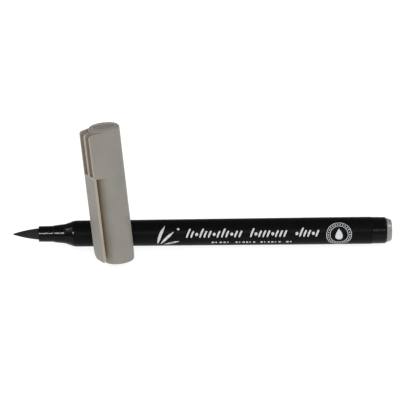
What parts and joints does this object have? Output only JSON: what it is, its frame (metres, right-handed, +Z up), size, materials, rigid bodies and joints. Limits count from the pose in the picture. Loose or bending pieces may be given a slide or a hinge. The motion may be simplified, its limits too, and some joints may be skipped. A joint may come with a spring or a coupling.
{
  "type": "brush marker",
  "caption": "Slim brush-tip calligraphy and colouring marker lying flat, its cap off and leaning on the barrel, with a clip on the cap.",
  "frame": {"origin": "centre of the whole part's box, on the surface it lies on", "axes": "+X along the pen from nib to tail, +Z up, -Y towards the leaning cap"},
  "size_m": [0.14, 0.0236, 0.0519],
  "materials": {
    "black_barrel": "satin moulded black",
    "black_section": "gloss moulded black",
    "black_ring": "gloss moulded black",
    "grey_plug": "satin warm grey",
    "grey_cap": "satin warm grey",
    "liner": "natural white",
    "brush_fibre": "ink-stained fibre",
    "reservoir_fibre": "ink-soaked fibre",
    "wrap_film": "clear film"
  },
  "bodies": {
    "pen": {"barrel": "black_barrel", "front_section": "black_section", "tip_shank": "brush_fibre", "tip_retainer": "liner", "ink_reservoir": "reservoir_fibre", "reservoir_wrap": "wrap_film", "tail_ring": "black_ring", "tail_plug": "grey_plug"},
    "brush": {"brush_tip": "brush_fibre"},
    "cap": {"cap_shell": "grey_cap", "cap_end_disc": "grey_cap", "cap_liner": "liner"},
    "clip": {"clip_leaf": "grey_cap"}
  },
  "joints": [
    {"name": "cap_draw", "type": "slide", "parent": "pen", "child": "cap", "axis": [-0.0889, 0.2241, 0.9705], "range_m": [0, 0.06]},
    {"name": "clip_flex", "type": "hinge", "parent": "cap", "child": "clip", "pos_m": [-0.04045, -0.00136, 0.03388], "axis": [-0.4676, 0.8509, -0.2393], "range_deg": [0, 4], "stiffness_Nm_per_rad": 1.6},
    {"name": "tip_flex", "type": "hinge", "parent": "pen", "child": "brush", "pos_m": [-0.06042, 0.00675, 0.00511], "axis": [0, 1, 0], "range_deg": [-20, 20], "stiffness_Nm_per_rad": 0.012}
  ]
}
